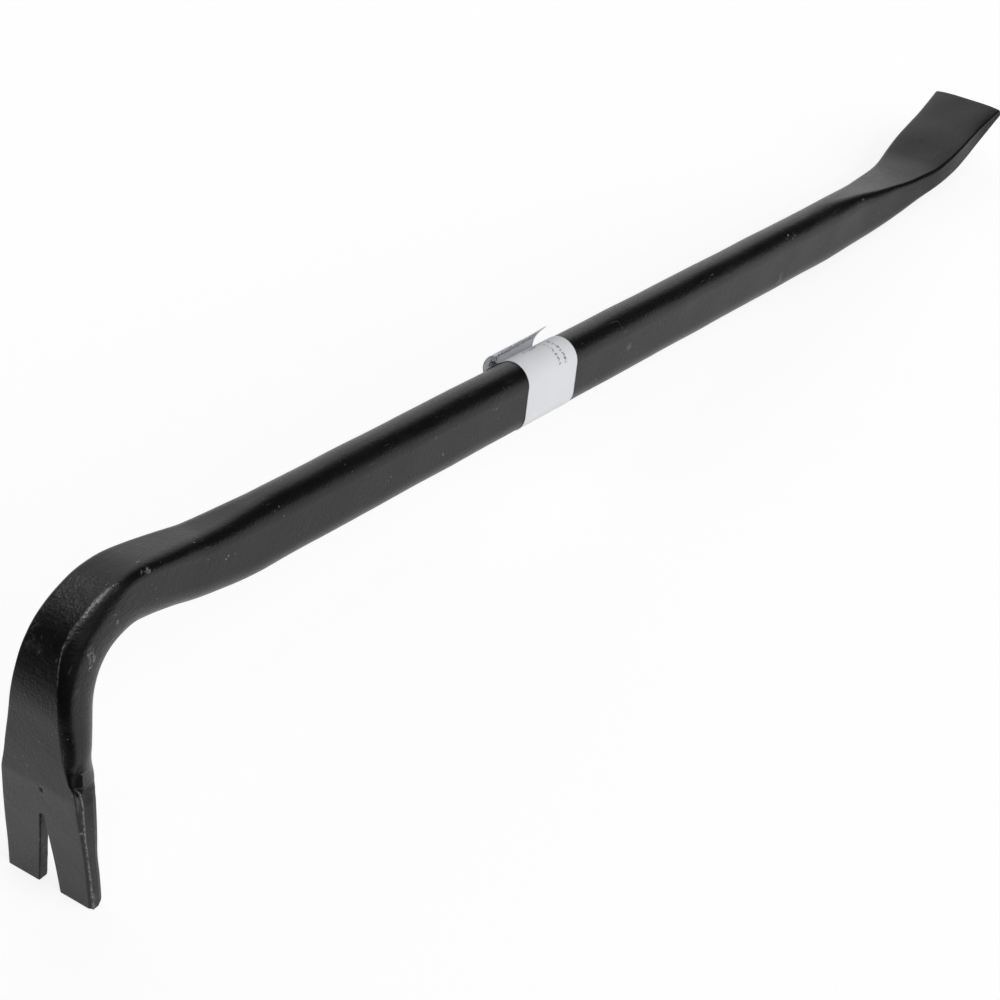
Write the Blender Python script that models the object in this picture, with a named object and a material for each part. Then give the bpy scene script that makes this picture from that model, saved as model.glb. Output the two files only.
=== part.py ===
"""A forged wrecking bar with a wrapped paper label.

The bar is one steel forging: a split nail claw on a hook, a straight shaft of flat-oval stock and a flat
blade bent up at the far end. Sizes are in millimetres and are turned into metres as the meshes are made.
The bar is drawn along its own shaft (x towards the blade, y across, z away from the belly) and then tilted
until the claw tips and the heel of the blade both touch the ground.
"""

import bpy
import math
import numpy as np

MILLIMETRE = 0.001

# Centre line of the forging, from the claw tips to the blade edge
CLAW_STRAIGHT = 75.0
CLAW_X = -48.0
HOOK_RADIUS = 32.0
NECK_RISE = 5.0
NECK_LENGTH = 70.0
HEEL_X = 500.5
HEEL_RADIUS = 210.0
BLADE_ANGLE = 22.85
BLADE_STRAIGHT = 37.0

# Flat-oval stock of the shaft
SHAFT_DEPTH = 30.0
SHAFT_WIDTH = 17.0
HALF_DEPTH = SHAFT_DEPTH / 2
HALF_WIDTH = SHAFT_WIDTH / 2
CREST_FLAT = 0.2

# Feet of the claw, ground level with the floor the bar stands on
FOOT_LEAN = 9.23
FOOT_HEIGHT = 4.0

# Nail notch: a narrow vee with a rounded end
NOTCH_LENGTH = 33.5
NOTCH_MOUTH_HALF = 4.9
NOTCH_END_RADIUS = 0.95
NOTCH_END_STEPS = 6
CUTTER_BELOW = 8.0
CUTTER_REACH = 14.0

# Label wrapped round the shaft, with its ends stuck together as a small flag
LABEL_START = 209.5
LABEL_WIDTH = 34.7
LABEL_GAP = 0.3
LABEL_THICKNESS = 0.4
FLAG_THICKNESS = 0.6
FLAG_TURN = 55.0
FLAG_TIP_NEAR_HOOK = (13.6, 10.4)
FLAG_TIP_NEAR_BLADE = (8.2, 17.2)
LABEL_STATIONS = 7
LABEL_ARC_STEPS = 12
FLAG_STEPS = 4

# How finely the sections are drawn
FACE_POINTS = 3
CORNER_STEPS = 6
SIDE_POINTS = 3
CORNER_WEIGHT = math.sqrt(0.5)

# How fast the side of a section swells out from its outer edge
SIDE_POWER = 3

# The most of a section's height that its two corners may take
CORNER_SHARE = 0.9

# Colours and shading
BLACK_PAINT_COLOUR = (0.03, 0.031, 0.033)
BLACK_PAINT_ROUGHNESS = 0.4
WHITE_PAPER_COLOUR = (0.78, 0.79, 0.81)
WHITE_PAPER_ROUGHNESS = 0.7
SHARP_EDGE_ANGLE = 35.0

# Sections near the claw. Each row: distance from the claw tips, then height of the outer face above the
# centre line, depth of the inner face below it, half-width by the outer face, half-width by the inner face,
# outer corner across and down, inner corner across and down.
CLAW_SECTIONS = (
    (0.0, 0.5, 5.2, 19.7, 19.7, 0.6, 1.0, 1.0, 1.6),
    (12.0, 2.1, 4.5, 19.4, 19.3, 0.6, 1.1, 1.4, 1.8),
    (22.0, 3.6, 3.7, 19.0, 18.8, 0.6, 1.2, 1.9, 2.2),
    (32.0, 5.3, 3.6, 18.5, 18.3, 0.7, 1.3, 2.2, 2.4),
    (43.0, 7.1, 4.0, 17.6, 17.1, 0.7, 1.4, 2.6, 2.6),
    (47.0, 7.8, 4.7, 17.0, 16.1, 0.8, 1.3, 2.9, 2.9),
    (50.0, 8.1, 5.8, 16.3, 15.8, 0.6, 0.8, 3.6, 8.4),
    (60.0, 8.9, 7.3, 14.8, 16.0, 0.4, 0.5, 11.0, 10.6),
    (75.0, 9.7, 8.0, 12.6, 14.1, 0.4, 0.5, 7.8, 10.8),
    (87.0, 11.1, 8.6, 11.1, 12.6, 0.4, 0.5, 6.6, 11.6),
    (100.0, 12.7, 9.0, 10.8, 11.5, 1.2, 1.5, 6.1, 12.0),
    (110.0, 12.5, 9.8, 10.7, 10.9, 2.4, 3.0, 6.0, 11.8),
    (125.0, 12.1, 10.9, 10.2, 10.2, 3.2, 4.2, 7.0, 9.5),
    (145.0, 11.4, 12.9, 9.5, 9.4, 3.8, 4.6, 7.5, 8.2),
    (155.0, 11.4, 14.0, 9.2, 9.2, 4.4, 5.2, 7.7, 8.3),
    (165.0, 12.1, 14.5, 9.0, 9.0, 5.1, 5.8, 7.8, 8.4),
    (185.0, 14.1, 15.0, 8.7, 8.7, 6.8, 7.2, 8.0, 8.5),
    (205.0, 14.9, 15.0, HALF_WIDTH, HALF_WIDTH, 8.0, 8.2, 8.3, HALF_WIDTH),
)

# Sections near the blade, the same values against the distance back from the blade edge
BLADE_SECTIONS = (
    (130.0, 13.8, 13.5, 8.6, 8.6, 5.2, 6.3, 7.4, 7.9),
    (100.0, 10.9, 10.0, 10.3, 10.3, 2.6, 3.6, 5.3, 6.2),
    (76.0, 7.2, 6.9, 12.9, 12.9, 1.8, 2.5, 3.4, 3.6),
    (58.0, 5.5, 5.5, 16.0, 16.0, 1.7, 2.2, 2.2, 2.2),
    (45.0, 5.5, 5.0, 17.1, 17.1, 1.6, 1.9, 1.7, 1.7),
    (20.0, 3.3, 3.2, 17.8, 17.8, 1.5, 1.4, 1.0, 1.0),
    (0.0, 1.7, 1.5, 19.0, 19.0, 1.4, 0.8, 0.8, 0.6),
)

# Where the claw plate ends and the rounded neck of the hook begins
SHOULDER_LOW = 47.0
SHOULDER_HIGH = 50.0

# Where the plain stock begins behind the hook and ends before the blade
SHAFT_AFTER_CLAW = 241.0
SHAFT_BEFORE_BLADE = 160.0

# Lengths along the centre line
HOOK_START = CLAW_STRAIGHT
HOOK_END = HOOK_START + HOOK_RADIUS * math.pi / 2
HOOK_END_X = CLAW_X + HOOK_RADIUS
HEEL_START = HOOK_END + HEEL_X - HOOK_END_X
HEEL_END = HEEL_START + HEEL_RADIUS * math.radians(BLADE_ANGLE)
BAR_END = HEEL_END + BLADE_STRAIGHT

# Where the section rings stand: from, to, and how many
STATION_RUNS = (
    (0.0, FOOT_HEIGHT / 2, 2),
    (FOOT_HEIGHT, SHOULDER_LOW, 9),
    (SHOULDER_LOW, SHOULDER_HIGH, 4),
    (SHOULDER_HIGH, HOOK_START, 5),
    (HOOK_START, HOOK_END, 13),
    (HOOK_END, SHAFT_AFTER_CLAW, 11),
    (SHAFT_AFTER_CLAW, BAR_END - SHAFT_BEFORE_BLADE, 9),
    (BAR_END - SHAFT_BEFORE_BLADE, BAR_END, 21),
)


def clear_scene():
    for item in list(bpy.data.objects):
        bpy.data.objects.remove(item, do_unlink=True)


def section_rows():
    """All sections in order along the centre line, with the plain stock between the two ends."""
    stock = (
        HALF_DEPTH,
        HALF_DEPTH,
        HALF_WIDTH,
        HALF_WIDTH,
        HALF_WIDTH - CREST_FLAT,
        HALF_WIDTH,
        HALF_WIDTH - CREST_FLAT,
        HALF_WIDTH,
    )
    rows = list(CLAW_SECTIONS)
    rows.append((SHAFT_AFTER_CLAW,) + stock)
    rows.append((BAR_END - SHAFT_BEFORE_BLADE,) + stock)
    rows.extend((BAR_END - row[0],) + tuple(row[1:]) for row in BLADE_SECTIONS)
    return np.array(rows)


def blended(rows, distance):
    """Smooth curves through the rows that never overshoot them."""
    x = rows[:, 0]
    y = rows[:, 1:]
    step = np.diff(x)[:, None]
    slope = np.diff(y, axis=0) / step
    before = slope[:-1]
    after = slope[1:]
    steady = before * after > 0
    total = np.where(steady, before + after, 1.0)
    bend = np.where(steady, 2 * before * after / total, 0.0)
    tangent = np.concatenate([slope[:1], bend, slope[-1:]])
    cell = np.clip(np.searchsorted(x, distance, side="right") - 1, 0, len(x) - 2)
    t = ((distance - x[cell]) / (x[cell + 1] - x[cell]))[:, None]
    width = step[cell]
    start = (1 + 2 * t) * (1 - t) ** 2 * y[cell] + t * (1 - t) ** 2 * width * tangent[cell]
    finish = t**2 * (3 - 2 * t) * y[cell + 1] + t**2 * (t - 1) * width * tangent[cell + 1]
    return start + finish


def centre_line(distance):
    """Points of the centre line and the direction of the outer face, both in the x-z plane."""
    x = np.zeros_like(distance)
    z = np.zeros_like(distance)
    turn = np.zeros_like(distance)
    claw = distance <= HOOK_START
    foot = np.clip(1 - distance[claw] / FOOT_HEIGHT, 0, 1)
    x[claw] = CLAW_X
    z[claw] = NECK_RISE - HOOK_RADIUS - (HOOK_START - distance[claw])
    turn[claw] = math.pi / 2 + math.radians(FOOT_LEAN) * foot
    hook = (distance > HOOK_START) & (distance <= HOOK_END)
    angle = (HOOK_END - distance[hook]) / HOOK_RADIUS
    x[hook] = HOOK_END_X - HOOK_RADIUS * np.sin(angle)
    z[hook] = NECK_RISE - HOOK_RADIUS + HOOK_RADIUS * np.cos(angle)
    turn[hook] = angle
    shaft = (distance > HOOK_END) & (distance <= HEEL_START)
    x[shaft] = HOOK_END_X + distance[shaft] - HOOK_END
    t = np.clip((HOOK_END_X + NECK_LENGTH - x[shaft]) / NECK_LENGTH, 0, 1)
    z[shaft] = NECK_RISE * t * t * (3 - 2 * t)
    turn[shaft] = -np.arctan(NECK_RISE * 6 * t * (1 - t) / NECK_LENGTH)
    heel = (distance > HEEL_START) & (distance <= HEEL_END)
    angle = (distance[heel] - HEEL_START) / HEEL_RADIUS
    x[heel] = HEEL_X + HEEL_RADIUS * np.sin(angle)
    z[heel] = HEEL_RADIUS * (1 - np.cos(angle))
    turn[heel] = angle
    blade = distance > HEEL_END
    slope = math.radians(BLADE_ANGLE)
    run = distance[blade] - HEEL_END
    x[blade] = HEEL_X + HEEL_RADIUS * math.sin(slope) + run * math.cos(slope)
    z[blade] = HEEL_RADIUS * (1 - math.cos(slope)) + run * math.sin(slope)
    turn[blade] = slope
    return np.stack([x, z], 1), np.stack([-np.sin(turn), np.cos(turn)], 1)


def rounded_corner(start, knee, end):
    """A conic from start to end that leaves towards the knee, a true ellipse for a square corner."""
    t = np.linspace(0, 1, CORNER_STEPS + 1)
    ends = np.stack([(1 - t) ** 2, t**2], 1)
    middle = 2 * t * (1 - t) * CORNER_WEIGHT
    weight = ends.sum(axis=1) + middle
    first = start[:, None, :] * (ends[:, 0] / weight)[None, :, None]
    second = knee[:, None, :] * (middle / weight)[None, :, None]
    third = end[:, None, :] * (ends[:, 1] / weight)[None, :, None]
    return first + second + third


def bar_rings():
    """Section rings along the bar, as an array of stations by points by (x, y, z)."""
    distance = np.unique(np.concatenate([np.linspace(*run) for run in STATION_RUNS]))
    rise, depth, outer, inner, outer_across, outer_down, inner_across, inner_down = blended(
        section_rows(), distance
    ).T
    room = np.minimum(1, CORNER_SHARE * (rise + depth) / (outer_down + inner_down))
    outer_down = outer_down * room
    inner_down = inner_down * room
    lean = SIDE_POWER * (inner - outer) / (rise + depth - outer_down - inner_down)
    knee = outer - outer_down * lean
    upper = rounded_corner(
        np.stack([knee - outer_across, rise], 1),
        np.stack([knee, rise], 1),
        np.stack([outer, rise - outer_down], 1),
    )
    share = np.linspace(0, 1, FACE_POINTS + 1)[:-1]
    face = np.stack(
        [np.outer(knee - outer_across, share), np.repeat(rise[:, None], FACE_POINTS, axis=1)], -1
    )
    lower = rounded_corner(
        np.stack([inner, inner_down - depth], 1),
        np.stack([inner, -depth], 1),
        np.stack([inner - inner_across, -depth], 1),
    )
    down = np.linspace(0, 1, SIDE_POINTS + 2)[1:-1]
    top = (rise - outer_down)[:, None]
    bottom = (inner_down - depth)[:, None]
    side = np.stack(
        [inner[:, None] + (outer - inner)[:, None] * (1 - down) ** SIDE_POWER, top + (bottom - top) * down], -1
    )
    back_share = np.linspace(1, 0, FACE_POINTS + 1)[1:]
    back = np.stack(
        [np.outer(inner - inner_across, back_share), np.repeat(-depth[:, None], FACE_POINTS, axis=1)], -1
    )
    half = np.concatenate([face, upper, side, lower, back], axis=1)
    other = half[:, -2:0:-1] * np.array([-1, 1])
    ring = np.concatenate([half, other], axis=1)
    centre, outward = centre_line(distance)
    x = centre[:, None, 0] + ring[..., 1] * outward[:, None, 0]
    z = centre[:, None, 1] + ring[..., 1] * outward[:, None, 1]
    return np.stack([x, ring[..., 0], z], -1)


def lofted(rings):
    """Vertices and faces of a solid through rings of equal length, with flat ends."""
    count, around = rings.shape[:2]
    index = np.arange(count * around).reshape(count, around)
    following = np.roll(index, -1, axis=1)
    walls = np.stack([index[:-1], following[:-1], following[1:], index[1:]], -1).reshape(-1, 4)
    faces = [tuple(int(v) for v in face) for face in walls]
    faces.append(tuple(int(v) for v in index[0][::-1]))
    faces.append(tuple(int(v) for v in index[-1]))
    return rings.reshape(-1, 3), faces


def notch_outline():
    """Half-width across and distance along of the notch, from one side of the mouth round to the other."""
    centre = NOTCH_LENGTH - NOTCH_END_RADIUS
    lean = math.atan2(NOTCH_MOUTH_HALF - NOTCH_END_RADIUS, centre)
    turn = np.linspace(lean, math.pi - lean, NOTCH_END_STEPS + 1)
    arc = np.stack(
        [NOTCH_END_RADIUS * np.cos(turn), centre + NOTCH_END_RADIUS * np.sin(turn)], 1
    )
    spread = (arc[0, 1] + CUTTER_BELOW) * math.tan(lean)
    mouth = np.array([[arc[0, 0] + spread, -CUTTER_BELOW]])
    return np.concatenate([mouth, arc, mouth * np.array([-1, 1])])


def notch_rings():
    """The two end faces of the notch cutter, in front of and behind the claw plate."""
    outline = notch_outline()
    foot = NECK_RISE - HOOK_RADIUS - CLAW_STRAIGHT
    rings = []
    for x in (CLAW_X - CUTTER_REACH, CLAW_X + CUTTER_REACH):
        rings.append(np.stack([np.full(len(outline), x), outline[:, 0], foot + outline[:, 1]], 1))
    return np.array(rings)


def label_section(share):
    """Outer and inner loops of the band and the two sides of the flag, across the shaft, at one station."""
    turn = np.radians(np.linspace(-90, 90, LABEL_ARC_STEPS + 1))
    straight = HALF_DEPTH - HALF_WIDTH
    loops = []
    for radius in (HALF_WIDTH + LABEL_GAP + LABEL_THICKNESS, HALF_WIDTH + LABEL_GAP):
        flag_edge = math.radians(FLAG_TURN)
        half_gap = FLAG_THICKNESS / 2 / (HALF_WIDTH + LABEL_GAP + LABEL_THICKNESS)
        first = np.linspace(flag_edge + half_gap, math.pi / 2, 4)
        rest = np.linspace(-math.pi / 2, flag_edge - half_gap, LABEL_ARC_STEPS)
        below = turn + math.pi
        angles = np.concatenate([first, below, rest])
        centre = np.concatenate(
            [np.full(len(first), straight), np.full(len(below), -straight), np.full(len(rest), straight)]
        )
        loops.append(np.stack([radius * np.sin(angles), centre + radius * np.cos(angles)], 1))
    outer, inner = loops
    tip = np.array(FLAG_TIP_NEAR_HOOK) * (1 - share) + np.array(FLAG_TIP_NEAR_BLADE) * share
    root = (outer[0] + outer[-1]) / 2
    along = (tip - root) / np.linalg.norm(tip - root)
    across = np.array([along[1], -along[0]]) * FLAG_THICKNESS / 2
    steps = np.linspace(0, 1, FLAG_STEPS + 1)[1:, None]
    middle = root + (tip - root) * steps
    return outer, inner, middle + across, middle - across


def label_mesh():
    """Closed mesh of the band and its flag, drawn from the blade side to the hook side."""
    points = []
    for share in np.linspace(1, 0, LABEL_STATIONS):
        outer, inner, far_side, near_side = label_section(share)
        section = np.concatenate([outer, inner, far_side, near_side])
        x = np.full(len(section), LABEL_START + LABEL_WIDTH * share)
        points.append(np.stack([x, section[:, 0], section[:, 1]], 1))
    around = len(outer)
    outer_at = list(range(around))
    inner_at = list(range(around, 2 * around))
    far_at = list(range(2 * around, 2 * around + FLAG_STEPS))
    near_at = list(range(2 * around + FLAG_STEPS, 2 * around + 2 * FLAG_STEPS))
    skin = outer_at + near_at + far_at[::-1]
    size = len(points[0])
    faces = []
    for station in range(LABEL_STATIONS - 1):
        here = station * size
        there = here + size
        for a, b in zip(skin, skin[1:] + skin[:1]):
            faces.append((here + a, here + b, there + b, there + a))
        for a, b in zip(inner_at, inner_at[1:] + inner_at[:1]):
            faces.append((here + b, here + a, there + a, there + b))
    flag_far = [outer_at[0]] + far_at
    flag_near = [outer_at[-1]] + near_at
    last = (LABEL_STATIONS - 1) * size
    for a, b, c, d in zip(outer_at, outer_at[1:] + outer_at[:1], inner_at[1:] + inner_at[:1], inner_at):
        faces.append((b, a, d, c))
        faces.append((last + a, last + b, last + c, last + d))
    for a, b, c, d in zip(flag_far, flag_far[1:], flag_near[1:], flag_near):
        faces.append((a, b, c, d))
        faces.append((last + b, last + a, last + d, last + c))
    return np.concatenate(points), faces


def settled_tilt(points):
    """Angle that brings the claw tips and the heel to the same height."""
    x = points[:, 0]
    z = points[:, 2]
    front = x < HOOK_END_X
    tilt = 0.0
    for _ in range(5):
        height = z * math.cos(tilt) - x * math.sin(tilt)
        toe = np.argmin(np.where(front, height, np.inf))
        heel = np.argmin(np.where(front, np.inf, height))
        tilt = math.atan2(z[heel] - z[toe], x[heel] - x[toe])
    return tilt


def tilted(points, tilt):
    x = points[:, 0] * math.cos(tilt) + points[:, 2] * math.sin(tilt)
    z = points[:, 2] * math.cos(tilt) - points[:, 0] * math.sin(tilt)
    return np.stack([x, points[:, 1], z], 1)


def painted(name, colour, roughness):
    material = bpy.data.materials.new(name)
    material.use_nodes = True
    shader = material.node_tree.nodes["Principled BSDF"]
    shader.inputs["Base Color"].default_value = (*colour, 1.0)
    shader.inputs["Metallic"].default_value = 0.0
    shader.inputs["Roughness"].default_value = roughness
    return material


def made(name, points, faces, material):
    mesh = bpy.data.meshes.new(name)
    mesh.from_pydata([tuple(p) for p in points * MILLIMETRE], [], faces)
    mesh.validate()
    mesh.update()
    item = bpy.data.objects.new(name, mesh)
    bpy.context.scene.collection.objects.link(item)
    if material:
        mesh.materials.append(material)
        mesh.shade_smooth()
        mesh.set_sharp_from_angle(angle=math.radians(SHARP_EDGE_ANGLE))
    return item


clear_scene()
bar_points, bar_faces = lofted(bar_rings())
tilt_angle = settled_tilt(bar_points)
standing = tilted(bar_points, tilt_angle)
middle_x = (standing[:, 0].min() + standing[:, 0].max()) / 2
rest_offset = np.array([-middle_x, 0.0, -standing[:, 2].min()])

black_paint = painted("black_paint_on_steel", BLACK_PAINT_COLOUR, BLACK_PAINT_ROUGHNESS)
white_paper = painted("white_paper", WHITE_PAPER_COLOUR, WHITE_PAPER_ROUGHNESS)

bar = made("forged_bar", standing + rest_offset, bar_faces, black_paint)

cutter_points, cutter_faces = lofted(notch_rings())
cutter = made("notch_cutter", tilted(cutter_points, tilt_angle) + rest_offset, cutter_faces, None)
cutter.hide_render = True
cutter.display_type = "WIRE"
notch = bar.modifiers.new("nail_notch", "BOOLEAN")
notch.operation = "DIFFERENCE"
notch.solver = "EXACT"
notch.object = cutter

label_points, label_faces = label_mesh()
made("wrap_label", tilted(label_points, tilt_angle) + rest_offset, label_faces, white_paper)
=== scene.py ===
# %% [markdown]
# # A forged wrecking bar with a paper label
#
# The real object is one steel forging: a split nail claw on a hook, a straight shaft of flat-oval stock, and
# a flat blade bent up at the far end. It is painted black, and a paper label is wrapped round the shaft.
#
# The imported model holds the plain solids. This lesson dresses them: a finer forging and a finer label are
# worked out as surfaces, given procedural materials, and lit on a pale floor.

# %% Load the fixed frame
import math

import bmesh
import bpy
import numpy as np
from mathutils import Matrix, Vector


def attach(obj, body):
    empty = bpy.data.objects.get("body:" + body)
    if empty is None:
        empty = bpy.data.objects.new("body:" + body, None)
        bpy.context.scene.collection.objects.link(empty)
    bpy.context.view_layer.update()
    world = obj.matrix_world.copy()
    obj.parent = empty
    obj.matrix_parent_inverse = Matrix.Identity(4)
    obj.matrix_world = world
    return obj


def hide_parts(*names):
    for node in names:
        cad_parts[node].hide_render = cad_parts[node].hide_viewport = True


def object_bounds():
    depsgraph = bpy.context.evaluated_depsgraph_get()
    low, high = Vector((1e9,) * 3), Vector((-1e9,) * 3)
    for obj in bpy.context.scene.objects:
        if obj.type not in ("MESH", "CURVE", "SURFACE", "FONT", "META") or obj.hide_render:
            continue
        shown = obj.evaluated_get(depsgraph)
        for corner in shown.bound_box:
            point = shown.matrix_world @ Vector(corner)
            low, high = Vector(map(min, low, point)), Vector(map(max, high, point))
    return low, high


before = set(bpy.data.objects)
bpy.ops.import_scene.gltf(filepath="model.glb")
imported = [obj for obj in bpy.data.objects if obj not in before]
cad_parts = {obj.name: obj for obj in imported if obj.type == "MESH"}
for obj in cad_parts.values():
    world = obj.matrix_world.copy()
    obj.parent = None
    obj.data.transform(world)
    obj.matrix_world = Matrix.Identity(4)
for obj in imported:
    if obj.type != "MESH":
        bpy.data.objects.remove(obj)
cad_low, cad_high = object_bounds()
MILLIMETRE = 0.001
print("frame", [round(v * 1000, 1) for v in cad_low], [round(v * 1000, 1) for v in cad_high])

# %% [markdown]
# ## The centre line of the forging
#
# A smith draws the bar straight and then bends it, so its shape is a section carried along one centre line:
# the straight claw, a quarter turn for the hook, a neck that eases down into the shaft, the straight shaft,
# a long gentle bend for the heel, and the straight blade. Lengths are in millimetres. The line is drawn with
# the shaft level, and the whole bar is tilted afterwards, so that it stands on its claw tips and its heel.

# %% Centre line
CLAW_STRAIGHT = 75.0
CLAW_X = -48.0
HOOK_RADIUS = 32.0
NECK_RISE = 5.0
NECK_LENGTH = 70.0
HEEL_X = 500.5
HEEL_RADIUS = 210.0
BLADE_ANGLE = math.radians(22.85)
BLADE_STRAIGHT = 37.0
FOOT_LEAN = math.radians(9.23)
FOOT_HEIGHT = 4.0
HOOK_END = CLAW_STRAIGHT + HOOK_RADIUS * math.pi / 2
HOOK_END_X = CLAW_X + HOOK_RADIUS
HEEL_START = HOOK_END + HEEL_X - HOOK_END_X
HEEL_END = HEEL_START + HEEL_RADIUS * BLADE_ANGLE
BAR_END = HEEL_END + BLADE_STRAIGHT


def centre_line(along):
    """Point and outward direction in the x-z plane at each distance from the claw tips.

    Straight parts move along one direction. Bends move round a circle, so the turn is distance over radius.
    The neck eases with the smooth step t*t*(3-2t), and its slope is that curve's slope.
    """
    claw = np.clip(along, 0, CLAW_STRAIGHT)
    hook = np.clip(along - CLAW_STRAIGHT, 0, HOOK_END - CLAW_STRAIGHT) / HOOK_RADIUS
    run = np.clip(along - HOOK_END, 0, HEEL_START - HOOK_END)
    heel = np.clip(along - HEEL_START, 0, HEEL_END - HEEL_START) / HEEL_RADIUS
    tail = np.clip(along - HEEL_END, 0, None)
    ease = np.clip(1 - run / NECK_LENGTH, 0, 1)
    smooth = ease * ease * (3 - 2 * ease)
    x = CLAW_X + HOOK_RADIUS * (1 - np.cos(hook)) + run + HEEL_RADIUS * np.sin(heel)
    x = x + tail * math.cos(BLADE_ANGLE)
    z = claw - CLAW_STRAIGHT - HOOK_RADIUS + HOOK_RADIUS * np.sin(hook) + NECK_RISE * smooth
    z = z + HEEL_RADIUS * (1 - np.cos(heel)) + tail * math.sin(BLADE_ANGLE)
    neck = -np.arctan(NECK_RISE * 6 * ease * (1 - ease) / NECK_LENGTH)
    foot = FOOT_LEAN * np.clip(1 - along / FOOT_HEIGHT, 0, 1)
    turn = np.where(along < HOOK_END, math.pi / 2 - hook + foot, neck + heel)
    return np.stack([x, z], -1), np.stack([-np.sin(turn), np.cos(turn)], -1)


print("centre line", round(BAR_END, 1), "mm long")

# %% [markdown]
# ## How the section changes
#
# The stock is a flat oval, 30 by 17 mm. Towards the claw the smith spreads it into a thin wide plate, and
# towards the blade into a flat tapering tongue. Each row below is one section that was measured: its
# distance, the height of the outer face, the depth of the inner face, two half-widths, and how wide and how
# deep each rounded corner is. Between rows a curve that never overshoots keeps the surface fair.

# %% Section rows
CLAW_SECTIONS = (
    (0.0, 0.5, 5.2, 19.7, 19.7, 0.6, 1.0, 1.0, 1.6),
    (12.0, 2.1, 4.5, 19.4, 19.3, 0.6, 1.1, 1.4, 1.8),
    (22.0, 3.6, 3.7, 19.0, 18.8, 0.6, 1.2, 1.9, 2.2),
    (32.0, 5.3, 3.6, 18.5, 18.3, 0.7, 1.3, 2.2, 2.4),
    (43.0, 7.1, 4.0, 17.6, 17.1, 0.7, 1.4, 2.6, 2.6),
    (47.0, 7.8, 4.7, 17.0, 16.1, 0.8, 1.3, 2.9, 2.9),
    (50.0, 8.1, 5.8, 16.3, 15.8, 0.6, 0.8, 3.6, 8.4),
    (60.0, 8.9, 7.3, 14.8, 16.0, 0.4, 0.5, 11.0, 10.6),
    (75.0, 9.7, 8.0, 12.6, 14.1, 0.4, 0.5, 7.8, 10.8),
    (87.0, 11.1, 8.6, 11.1, 12.6, 0.4, 0.5, 6.6, 11.6),
    (100.0, 12.7, 9.0, 10.8, 11.5, 1.2, 1.5, 6.1, 12.0),
    (110.0, 12.5, 9.8, 10.7, 10.9, 2.4, 3.0, 6.0, 11.8),
    (125.0, 12.1, 10.9, 10.2, 10.2, 3.2, 4.2, 7.0, 9.5),
    (145.0, 11.4, 12.9, 9.5, 9.4, 3.8, 4.6, 7.5, 8.2),
    (155.0, 11.4, 14.0, 9.2, 9.2, 4.4, 5.2, 7.7, 8.3),
    (165.0, 12.1, 14.5, 9.0, 9.0, 5.1, 5.8, 7.8, 8.4),
    (185.0, 14.1, 15.0, 8.7, 8.7, 6.8, 7.2, 8.0, 8.5),
    (205.0, 14.9, 15.0, 8.5, 8.5, 8.0, 8.2, 8.3, 8.5),
    (241.0, 15.0, 15.0, 8.5, 8.5, 8.3, 8.5, 8.3, 8.5),
)
BLADE_SECTIONS = (
    (160.0, 15.0, 15.0, 8.5, 8.5, 8.3, 8.5, 8.3, 8.5),
    (130.0, 13.8, 13.5, 8.6, 8.6, 5.2, 6.3, 7.4, 7.9),
    (100.0, 10.9, 10.0, 10.3, 10.3, 2.6, 3.6, 5.3, 6.2),
    (76.0, 7.2, 6.9, 12.9, 12.9, 1.8, 2.5, 3.4, 3.6),
    (58.0, 5.5, 5.5, 16.0, 16.0, 1.7, 2.2, 2.2, 2.2),
    (45.0, 5.5, 5.0, 17.1, 17.1, 1.6, 1.9, 1.7, 1.7),
    (20.0, 3.3, 3.2, 17.8, 17.8, 1.5, 1.4, 1.0, 1.0),
    (0.0, 1.7, 1.5, 19.0, 19.0, 1.4, 0.8, 0.8, 0.6),
)
ROWS = np.array(list(CLAW_SECTIONS) + [(BAR_END - row[0],) + row[1:] for row in BLADE_SECTIONS])


def blended(rows, at):
    """Smooth values between rows, without overshoot.

    Each tangent is the harmonic mean of the slopes on its two sides, or zero where they have opposite signs,
    and a cubic joins neighbouring rows with those tangents.
    """
    x = rows[:, 0]
    y = rows[:, 1:]
    slope = np.diff(y, axis=0) / np.diff(x)[:, None]
    before = slope[:-1]
    after = slope[1:]
    steady = before * after > 0
    bend = np.where(steady, 2 * before * after / np.where(steady, before + after, 1.0), 0.0)
    tangent = np.concatenate([slope[:1], bend, slope[-1:]])
    cell = np.clip(np.searchsorted(x, at, side="right") - 1, 0, len(x) - 2)
    width = (x[cell + 1] - x[cell])[:, None]
    t = ((at - x[cell])[:, None]) / width
    start = (1 + 2 * t) * (1 - t) ** 2 * y[cell] + t * (1 - t) ** 2 * width * tangent[cell]
    return start + t * t * (3 - 2 * t) * y[cell + 1] + t * t * (t - 1) * width * tangent[cell + 1]


print("section rows", len(ROWS))

# %% [markdown]
# ## The near edge
#
# No hammered edge is quite true. On the near side the outer face is a little narrower in places, and its
# rounded corner changes too. Each row is a distance, how much narrower the outer face is there, and how much
# wider and deeper the corner is.

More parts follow.
